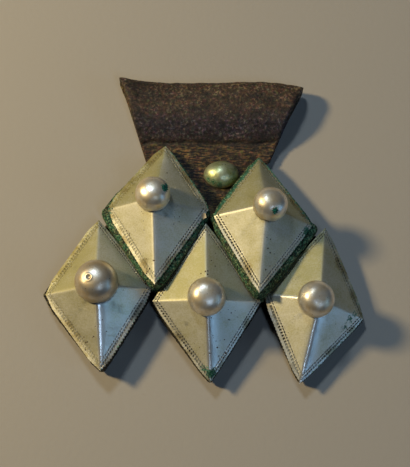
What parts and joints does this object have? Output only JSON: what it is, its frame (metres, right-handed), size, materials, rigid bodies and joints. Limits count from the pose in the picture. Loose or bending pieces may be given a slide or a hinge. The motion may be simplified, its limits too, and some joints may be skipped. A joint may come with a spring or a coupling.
{
  "type": "hamsa pendant",
  "caption": "Flat-backed amulet pendant: silver pyramids with round bosses on leather lozenges, under a folded leather sleeve that a neck cord runs through.",
  "frame": {"origin": "middle of the bounding box in plan, on the surface that the back rests on", "axes": "+Z out of the front, where the bosses stand; +Y up the pendant as it is worn, towards the cord sleeve; +X to the right as seen from the front"},
  "size_m": [0.0826, 0.084, 0.0216],
  "materials": {
    "hide": "old dark brown goatskin, worn and creased",
    "dyed_pad": "green dyed leather, rough cut edge",
    "silver_sheet": "worn, lightly tarnished silver sheet",
    "stud_silver": "tarnished silver with green corrosion"
  },
  "bodies": {
    "root": {"leather_backing": "hide", "pad_upper_left": "dyed_pad", "pad_upper_right": "dyed_pad", "pad_lower_left": "dyed_pad", "pad_lower_middle": "dyed_pad", "pad_lower_right": "dyed_pad", "plaque_upper_left": "silver_sheet", "plaque_upper_right": "silver_sheet", "plaque_lower_left": "silver_sheet", "plaque_lower_middle": "silver_sheet", "plaque_lower_right": "silver_sheet", "stud": "stud_silver"}
  },
  "joints": []
}
